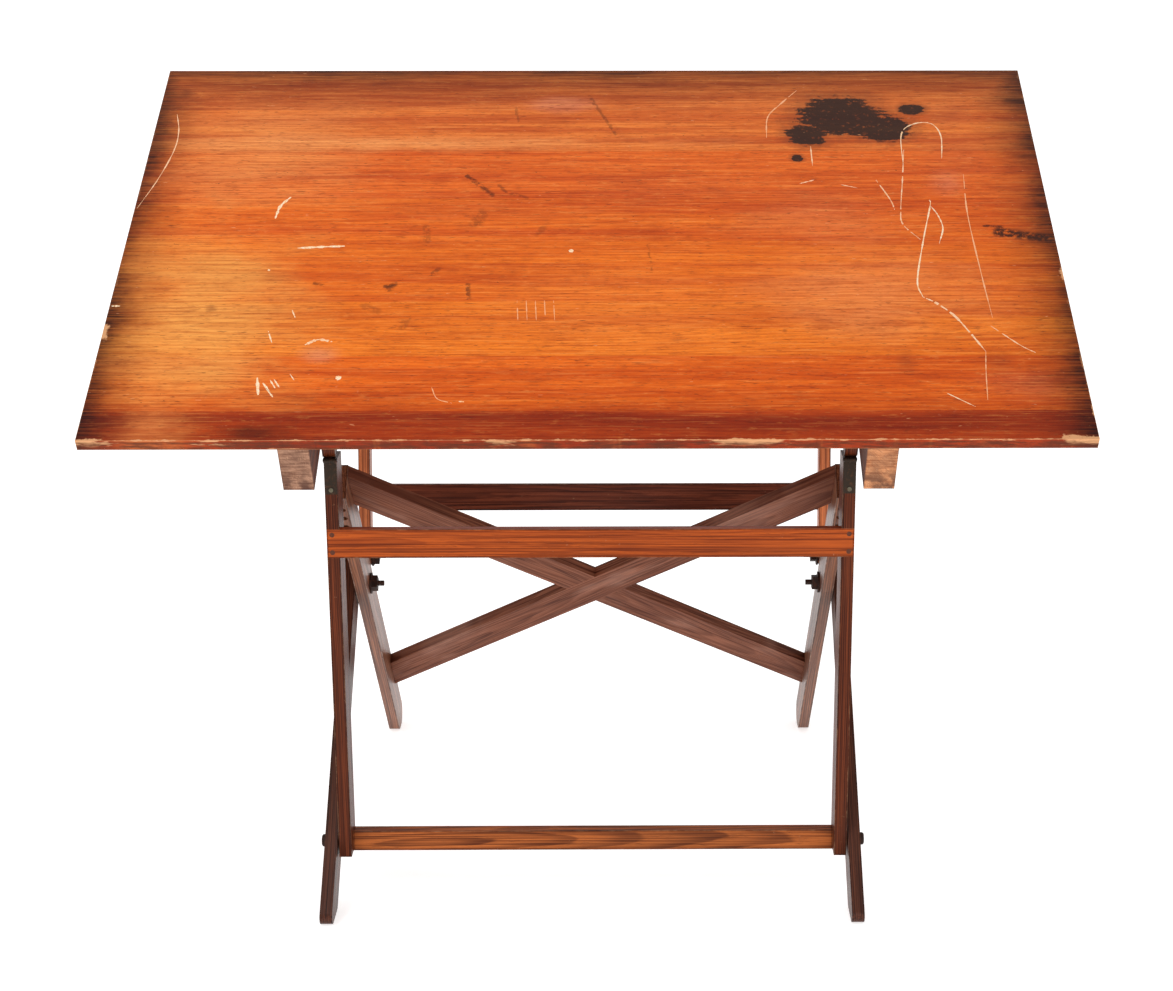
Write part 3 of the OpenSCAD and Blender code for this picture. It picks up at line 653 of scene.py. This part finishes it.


# Dried paint on the face, as (path, half width, strength), after the marks in the photo. A path's
# points are (across, up from the front edge), in metres. The long runs were rounded. The places
# of the short ones came out of the same scratch script as those of the dark smears.
PAINT_PATHS = {
    "loop": (
        [(0.530, 0.670), (0.535, 0.760), (0.560, 0.790), (0.590, 0.790), (0.603, 0.755),
         (0.598, 0.690)], 0.0016, 0.75),
    "left_run": (
        [(0.535, 0.715), (0.525, 0.630), (0.515, 0.550), (0.515, 0.510), (0.540, 0.470)],
        0.0014, 0.60),
    "long_run": (
        [(0.565, 0.575), (0.565, 0.560), (0.545, 0.470), (0.525, 0.365), (0.530, 0.325)],
        0.0015, 0.90),
    "long_run_end": (
        [(0.530, 0.325), (0.550, 0.310), (0.575, 0.280), (0.595, 0.240), (0.615, 0.195)],
        0.0024, 0.70),
    "fading_run": ([(0.615, 0.195), (0.610, 0.150), (0.605, 0.085)], 0.0010, 0.40),
    "short_hook": ([(0.565, 0.560), (0.575, 0.535), (0.580, 0.500), (0.570, 0.460)], 0.0015, 0.90),
    "far_run": ([(0.630, 0.645), (0.625, 0.535), (0.630, 0.380), (0.635, 0.275)], 0.0014, 0.40),
    "far_branch": ([(0.630, 0.255), (0.670, 0.210), (0.695, 0.190)], 0.0013, 0.60),
    "pale_arc": ([(0.360, 0.890), (0.330, 0.850), (0.305, 0.810), (0.300, 0.750)], 0.0016, 0.40),
    "front_scratch": ([(0.545, 0.100), (0.585, 0.070)], 0.0014, 0.80),
    "tick_a": ([(0.375, 0.725), (0.375, 0.670)], 0.0012, 0.70),
    "tick_b": ([(0.480, 0.630), (0.500, 0.575), (0.505, 0.545)], 0.0013, 0.55),
    "tick_c": ([(0.350, 0.620), (0.375, 0.630)], 0.0014, 0.60),
    "tick_d": ([(0.420, 0.617), (0.447, 0.608)], 0.0012, 0.60),
    "left_edge_run": (
        [(-0.730, 0.820), (-0.720, 0.770), (-0.720, 0.715), (-0.735, 0.635), (-0.758, 0.555)],
        0.0013, 0.60),
    "brush": ([(-0.525, 0.527), (-0.520, 0.560), (-0.505, 0.585)], 0.0036, 0.95),
    "dash": ([(-0.480, 0.450), (-0.440, 0.453), (-0.403, 0.455)], 0.0032, 0.95),
    "nick_a": ([(-0.508, 0.138), (-0.502, 0.099)], 0.0030, 0.95),
    "nick_b": ([(-0.498, 0.126), (-0.485, 0.105)], 0.0022, 0.95),
    "nick_c": ([(-0.488, 0.133), (-0.478, 0.114)], 0.0018, 0.90),
    "nick_d": ([(-0.482, 0.134), (-0.472, 0.116)], 0.0018, 0.90),
    "nick_e": ([(-0.492, 0.114), (-0.479, 0.094)], 0.0016, 0.90),
    "nick_f": ([(-0.504, 0.246), (-0.495, 0.218)], 0.0014, 0.90),
    "nick_g": ([(-0.472, 0.296), (-0.465, 0.277)], 0.0012, 0.90),
    "nick_h": ([(-0.459, 0.146), (-0.451, 0.132)], 0.0012, 0.90),
    "edge_nick": ([(-0.759, 0.306), (-0.745, 0.306)], 0.0022, 0.90),
    "smear": ([(-0.443, 0.213), (-0.424, 0.225), (-0.401, 0.220)], 0.0034, 0.65),
    "front_arc": ([(-0.240, 0.115), (-0.230, 0.090), (-0.207, 0.080)], 0.0011, 0.40),
    "front_tick": ([(-0.197, 0.084), (-0.189, 0.083)], 0.0018, 0.70),
}

# Five faint parallel rubs, left of the middle
for rub in range(5):
    rub_x = -0.117 + 0.0145 * rub
    PAINT_PATHS["rub_%d" % (rub + 1)] = ([(rub_x, 0.318), (rub_x + 0.003, 0.270)], 0.0012, 0.30)

# Drops of paint, as (across, up from the front edge, radius), with places from that script too
PAINT_SPOTS = [(-0.384, 0.137, 0.0048), (-0.033, 0.442, 0.0040), (-0.520, 0.394, 0.0022)]

PAINT_LIFT = 0.00015
PAINT_SEED = 11
SPOT_CORNERS = 20


def on_board(x, s):
    """A point just off the board's face, in the shared frame."""
    c, k = math.cos(BOARD_TILT), math.sin(BOARD_TILT)
    _, y, z = BOARD_ORIGIN
    return (x, y + s * c - PAINT_LIFT * k, z + s * k + PAINT_LIFT * c)


def smooth_path(points, steps=8):
    """A Catmull-Rom line through the points."""
    pts = [np.array(p) for p in points]
    pts = [2 * pts[0] - pts[1]] + pts + [2 * pts[-1] - pts[-2]]
    line = []
    for a, b, c, d in zip(pts, pts[1:], pts[2:], pts[3:]):
        for t in np.linspace(0, 1, steps, endpoint=False):
            line.append(
                0.5 * (2 * b + (c - a) * t + (2 * a - 5 * b + 4 * c - d) * t**2
                       + (3 * b - a - 3 * c + d) * t**3)
            )
    line.append(pts[-2])
    return line


def link(name, data):
    """A new object in the scene."""
    made = bpy.data.objects.new(name, data)
    bpy.context.scene.collection.objects.link(made)
    return made


def add_mesh(name, vertices, faces, material):
    """A new mesh object with one material."""
    mesh = bpy.data.meshes.new(name)
    mesh.from_pydata(vertices, [], faces)
    mesh.materials.append(material)
    mesh.validate()
    return link(name, mesh)


def paint_material(name, strength):
    """Thin dried paint, which shows more of the wood's colour the weaker it is."""
    g = Graph(name)
    x, s, _ = g.local(BOARD_PLACE)
    tone = g.noise(g.mul(x, 260.0), g.mul(s, 260.0), 0.0)
    colour = g.mix(g.step(tone, 0.35, 0.7), linear(255, 240, 208), linear(250, 200, 144))
    colour = g.mix(1.05 - strength, colour, linear(240, 140, 74))
    return g.finish(colour, 0.55, tone, relief=0.0001)


def paint_ribbon(rng, vertices, faces, points, half_width, strength):
    """A run of paint that tapers to its ends and has gaps, more of them the weaker it is."""
    line = smooth_path(points)
    last = len(line) - 1
    base = len(vertices)
    for i, p in enumerate(line):
        run = line[min(i + 1, last)] - line[max(i - 1, 0)]
        side = np.array([-run[1], run[0]]) / np.linalg.norm(run)
        taper = min(1.0, 0.35 + 4.0 * min(i, last - i) / len(line))
        width = half_width * taper * rng.uniform(0.30, 1.05)
        vertices += [on_board(*(p + side * width)), on_board(*(p - side * width))]
    for a in range(base, base + 2 * last, 2):
        if rng.random() >= 0.20 * (0.95 - strength):
            faces.append((a, a + 1, a + 3, a + 2))


def paint_spot(rng, vertices, faces, x, s, radius):
    """A drop of paint: a polygon with an uneven rim."""
    base = len(vertices)
    for k in range(SPOT_CORNERS):
        turn = 2 * math.pi * k / SPOT_CORNERS
        reach = radius * rng.uniform(0.85, 1.1)
        vertices.append(on_board(x + reach * math.cos(turn), s + reach * math.sin(turn)))
    faces.append(tuple(range(base, base + SPOT_CORNERS)))


def paint_marks():
    """Thin runs, brush marks and spots of pale paint, one piece for each strength."""
    rng = random.Random(PAINT_SEED)
    groups = {}
    for points, half_width, strength in PAINT_PATHS.values():
        group = groups.setdefault(round(strength, 1), ([], []))
        paint_ribbon(rng, *group, points, half_width, strength)
    for spot in PAINT_SPOTS:
        paint_spot(rng, *groups[0.9], *spot)
    for strength, (vertices, faces) in sorted(groups.items()):
        name = "dried_paint_%d" % round(strength * 10)
        piece = add_mesh(name, vertices, faces, paint_material(name, strength))
        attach(piece, "board")


# ---------------------------------------------------------------- metal and end grain


def iron(name, base, rust, roughness, metallic):
    """Old hardware: dark scale with brown rust in patches."""
    g = Graph(name)
    point = g.split(g.object_point())
    patch = g.speckle(point, 160.0, detail=4.0, roughness=0.65)
    grit = g.speckle(point, 900.0)
    colour = g.mix(g.mul(g.step(patch, 0.495, 0.70), 0.9), linear(*base), linear(*rust))
    colour = g.mix(g.mul(g.step(grit, 0.55, 0.8), 0.35), colour, SCALE_GRIT)
    rough = g.add(g.mul(patch, 0.3), roughness - 0.1)
    return g.finish(colour, rough, grit, relief=0.00025, metallic=metallic)


def end_grain(name, node, light, dark, seed):
    """A cleat: long grain on its sides, raw sawn end grain at its front."""
    g = Graph(name)
    x, s, z = point = g.local(BOARD_PLACE)
    low, high = local_bounds(node, BOARD_PLACE)
    late, fibre, pores = grain(g, s, x, z, 0.005, 0.14, 0.01, seed)
    streak = g.drawn((s, x, z), 2.5, 150.0, detail=3.0)
    shade = g.add(g.mul(late, 0.4), g.mul(g.step(streak, 0.3, 0.7), 0.5))
    side = g.mix(shade, linear(112, 58, 34), linear(52, 26, 18))
    side = g.mix(g.mul(pores, 0.5), side, CLEAT_PORE_DIRT)

    # The sawn end: rings, pale rays, dark pores, dirt that gathers low down, and saw marks
    rays = g.noise(g.mul(x, 620.0), 0.0, g.mul(z, 70.0))
    specks = g.noise(g.mul(x, 700.0), 4.0, g.mul(z, 700.0), detail=1.0)
    rings = g.noise(g.mul(x, 30.0), 8.0, g.mul(z, 260.0), detail=3.0)
    soil = g.noise(g.mul(x, 40.0), 2.0, g.mul(z, 34.0), detail=4.0)
    end = g.mix(g.step(rings, 0.35, 0.7), linear(*light), linear(*dark))
    end = g.mix(g.mul(g.step(rays, 0.55, 0.75), 0.35), end, linear(236, 186, 146))
    end = g.mix(g.mul(g.step(specks, 0.62, 0.74), 0.6), end, linear(72, 38, 26))
    foot = float(low[2])
    low_down = g.add(g.mul(g.step(z, foot + 0.055, foot), 0.55), 0.35)
    end = g.mix(g.mul(g.step(soil, 0.40, 0.58), low_down), end, linear(80, 50, 40))
    saw = g.noise(g.mul(g.add(x, z), 500.0), g.mul(g.sub(x, z), 40.0), 6.0)
    end = g.mix(g.mul(g.step(saw, 0.52, 0.66), 0.40), end, linear(96, 58, 42))

    colour = g.mix(g.step(s, 0.0022, 0.0008), side, end)
    edge = g.edge_distance(point, low, high)
    colour = g.mix(g.mul(g.step(edge, 0.0016, 0.0004), 0.45), colour, linear(70, 38, 26))
    height = g.sub(g.mul(fibre, 0.3), g.mul(g.step(specks, 0.62, 0.74), 0.5))
    return g.finish(colour, 0.62, height)


# ---------------------------------------------------------------- dress every node


def member_finishes():
    """The wood of the frame, one finish for each member."""
    dark_oak = dict(light=(118, 54, 26), dark=(58, 24, 12), gloss=0.26, shine=0.10)
    for side, seed in (("left", 2.1), ("right", 4.6)):
        upright = "front_upright_" + side
        place = frame_of(upright, UPRIGHT_ANGLE)
        dress(upright, wood(upright + "_oak", upright, place, seed=seed, spacing=0.0032,
                            wear=0.25, **dark_oak))
        leg = "outer_leg_" + side
        place = frame_of(leg, OUTER_LEG_ANGLE)
        dress(leg, wood(leg + "_oak", leg, place, (100, 54, 36), (44, 22, 15), seed=seed + 1,
                        spacing=0.0036, gloss=0.26, coat=0.045, wear=0.30, shine=0.16,
                        wear_colour=(150, 104, 84)))
        leg = "inner_leg_" + side
        place = frame_of(leg, INNER_LEG_ANGLE)
        dress(leg, wood(leg + "_oak", leg, place, (158, 102, 72), (88, 46, 30), seed=seed + 2,
                        spacing=0.0040, gloss=0.24, coat=0.045, wear=0.45, shine=0.20,
                        wear_colour=(208, 176, 156)))
        prop = "rear_upright_" + side
        place = frame_of(prop, PROP_ANGLE)
        dress(prop, wood(prop + "_oak", prop, place, (246, 146, 88), (176, 90, 54), seed=seed + 3,
                         spacing=0.0030, gloss=0.3, coat=0.045, wear=0.2))
        block = "hinge_block_" + side
        place = frame_of(block, HINGE_BLOCK_ANGLE)
        dress(block, wood(block + "_oak", block, place, seed=seed + 4, spacing=0.0030,
                          wear=0.15, **dark_oak))
    # Per rail: light and dark colour, ring spacing, depth of the heart, slope, seed and gloss
    rails = {
        "front_top_rail": ((196, 90, 30), (138, 56, 18), 0.0034, 0.020, 0.004, 6.2, 0.28),
        "front_lower_rail": ((194, 106, 50), (84, 36, 16), 0.0085, 0.008, 0.070, 8.9, 0.30),
        "rear_rail": ((138, 70, 46), (76, 35, 24), 0.0036, 0.030, 0.010, 3.3, 0.30),
    }
    for node, (light, dark, spacing, depth, slope, seed, gloss) in rails.items():
        place = frame_of(node, PROP_ANGLE if node == "rear_rail" else UPRIGHT_ANGLE)
        dress(node, wood(node + "_oak", node, place, light, dark, grain_along="x",
                         spacing=spacing, depth=depth, slope=slope, seed=seed, gloss=gloss,
                         wear=0.25, grime=0.3, shine=0.10))
    for node, seed in (("brace_rising", 5.5), ("brace_falling", 9.1)):
        dress(node, brace_material(node, seed))
    for side, tones, seed in (
        ("left", ((176, 132, 106), (112, 74, 56)), 1.3),
        ("right", ((212, 146, 100), (158, 94, 58)), 7.7),
    ):
        cleat = "cleat_" + side
        dress(cleat, end_grain(cleat + "_wood", cleat, *tones, seed))


# A brace's run between the inner legs, and its climb along them
BRACE_RUN = 0.792
BRACE_CLIMB = 0.717
BRACE_RISE = math.atan2(BRACE_CLIMB, BRACE_RUN)


def brace_material(node, seed):
    """A brace board: its grain runs up the slope between the legs."""
    place = frame_of(node, INNER_LEG_ANGLE)
    g = Graph(node + "_oak")
    x, y, z = point = g.local(place)
    low, high = local_bounds(node, place)
    rise = BRACE_RISE if node == "brace_rising" else -BRACE_RISE
    c, k = math.cos(rise), math.sin(rise)
    along = g.add(g.mul(x, c), g.mul(y, k))
    across = g.add(g.mul(x, -k), g.mul(y, c))
    fibres_way = (along, across, z)
    late, fibre, pores = grain(g, *fibres_way, 0.0050, 0.016, 0.045, seed)
    streak = g.drawn(fibres_way, 3.0, 170.0)
    tone = g.noise(g.mul(along, 4.0), g.mul(across, 16.0), seed, detail=4.0)
    shade = g.add(g.mul(late, 0.42), g.mul(g.step(streak, 0.3, 0.7), 0.35))
    shade = g.clamped(g.add(shade, g.mul(g.step(fibre, 0.3, 0.75), 0.2)))
    colour = g.mix(shade, linear(146, 90, 66), linear(86, 43, 27))
    lines = g.drawn(fibres_way, 5.0, 300.0)
    colour = g.tint(g.mul(g.step(lines, 0.50, 0.60), 0.65), colour, BRACE_LINE_SHADE)
    sheen = g.noise(g.mul(along, 7.0), g.mul(across, 22.0), seed + 3.0, detail=3.0)
    colour = g.mix(g.mul(g.step(sheen, 0.52, 0.75), 0.26), colour, linear(186, 142, 124))
    edge = g.edge_distance(point, low, high)
    colour = g.tint(g.mul(g.step(edge, 0.0014, 0.0), 0.6), colour, BRACE_EDGE_SHADE)
    colour = g.mix(g.mul(g.step(tone, 0.45, 0.7), 0.45), colour, linear(86, 42, 28))
    colour = g.mix(g.mul(pores, 0.5), colour, linear(48, 26, 20))
    ends = g.step(g.math("ABSOLUTE", x), 0.26, 0.40)
    colour = g.mix(g.mul(ends, 0.18), colour, linear(84, 40, 26))
    height = g.sub(g.mul(fibre, 0.35), pores)
    return g.finish(colour, g.add(g.mul(streak, 0.2), 0.42), height, specular=0.08)


def hardware_finishes():
    """Dark iron for bolts and nuts, brown-black scale for hinge leaves, and the birch dowels."""
    dark = iron("dark_rusty_iron", (58, 44, 40), (98, 58, 44), roughness=0.55, metallic=0.5)
    screws = iron("screw_heads", (92, 54, 40), (112, 62, 42), roughness=0.50, metallic=0.3)
    leaf = iron("hinge_leaf_scale", (52, 42, 34), (82, 56, 40), roughness=0.42, metallic=0.5)
    bright = iron("worn_screw", (104, 98, 82), (84, 68, 52), roughness=0.40, metallic=0.7)
    dowel = wood("dowel_birch", "lower_rail_dowels", frame_of("lower_rail_dowels", UPRIGHT_ANGLE),
                 (206, 150, 96), (160, 104, 60), grain_along="x", seed=3.0, coat=0.0)
    for node in NODES:
        if node.endswith("_leaves"):
            dress(node, leaf)
        elif node == "leaf_screws":
            dress(node, bright)
        elif node.endswith("_screws"):
            dress(node, screws)
        elif node.endswith(("_bolts", "_nuts", "_washers", "_spacers", "_pins", "_hooks")):
            dress(node, dark)
        elif node.startswith("wing_nut_"):
            dress(node, dark)
        elif node == "lower_rail_dowels":
            dress(node, dowel)


def soften_edges():
    """Bevels by kind of part: sharp planks, well worn legs and rails, small hardware."""
    for node in NODES:
        if node.startswith("plank"):
            soften(node, 0.0004)
        elif node.startswith(("cleat_l", "cleat_r", "front_", "inner_leg", "brace_r", "brace_f")):
            soften(node, 0.0012)
        elif node.startswith(("rear_upright", "rear_rail", "hinge_block")) and "screw" not in node:
            soften(node, 0.0010)
        elif node.endswith(("_nuts", "_washers")):
            soften(node, 0.0005)


# ---------------------------------------------------------------- stage, lights and camera

LENS_MM = 66.09
SENSOR_MM = 36.0
LENS_SHIFT = (-0.0506, -0.0181)
CAMERA_AT = (0.0604, -3.5826, 1.6094)
CAMERA_TURN = (math.radians(74.851), 0.0, math.radians(-0.466))

WHITE = (1.0, 1.0, 1.0, 1.0)
WORLD_STRENGTH = 0.72
FLOOR_GLOW = 0.62
FLOOR_REACH = 60.0
FLOOR_DROP = 0.0005


def camera():
    """The photograph's viewpoint, fitted to the board's corners, the feet, rails and nuts."""
    data = bpy.data.cameras.new("studio_camera")
    data.sensor_fit = "HORIZONTAL"
    data.sensor_width = SENSOR_MM
    data.lens = LENS_MM
    data.shift_x, data.shift_y = LENS_SHIFT
    data.clip_end = 100.0
    eye = link("studio_camera", data)
    eye.location = CAMERA_AT
    eye.rotation_euler = CAMERA_TURN
    bpy.context.scene.camera = eye


def area_light(name, place, target, size, power):
    """A soft white rectangle of light that faces its target."""
    data = bpy.data.lights.new(name, "AREA")
    data.shape = "RECTANGLE"
    data.size, data.size_y = size
    data.energy = power
    lamp = link(name, data)
    lamp.location = place
    lamp.rotation_euler = (Vector(target) - Vector(place)).to_track_quat("-Z", "Y").to_euler()


def floor():
    """A plain white sweep, bright enough to lose its own shadows."""
    g = Graph("white_floor")
    x, y, _ = g.split(g.object_point())
    tone = g.noise(x, y, 0.0)
    g.feed(g.shader.inputs["Base Color"], g.mix(tone, (0.9, 0.9, 0.9, 1), (0.92, 0.92, 0.92, 1)))
    g.shader.inputs["Roughness"].default_value = 0.9
    g.shader.inputs["Emission Color"].default_value = WHITE
    g.shader.inputs["Emission Strength"].default_value = FLOOR_GLOW
    corners = ((-1, -1), (1, -1), (1, 1), (-1, 1))
    vertices = [(FLOOR_REACH * a, FLOOR_REACH * b, -FLOOR_DROP) for a, b in corners]
    add_mesh("floor", vertices, [(0, 1, 2, 3)], g.material)


def studio():
    """White world, two soft lights, the floor and the camera."""
    scene = bpy.context.scene
    world = bpy.data.worlds.new("white_studio")
    world.use_nodes = True
    background = world.node_tree.nodes["Background"]
    background.inputs["Color"].default_value = WHITE
    background.inputs["Strength"].default_value = WORLD_STRENGTH
    scene.world = world
    scene.view_settings.view_transform = "Standard"
    area_light("key", (-2.2, -2.4, 3.6), target=(0.0, 0.0, 0.9), size=(1.8, 1.2), power=42.0)
    area_light("front_fill", (1.2, -4.0, 1.4), target=(0.0, 0.0, 0.6), size=(2.4, 1.6), power=20.0)
    floor()
    camera()


# ---------------------------------------------------------------- build

for plank in range(len(PLANKS)):
    dress("plank_%d" % (plank + 1), BoardFace(plank).build())
member_finishes()
hardware_finishes()
soften_edges()
paint_marks()
studio()
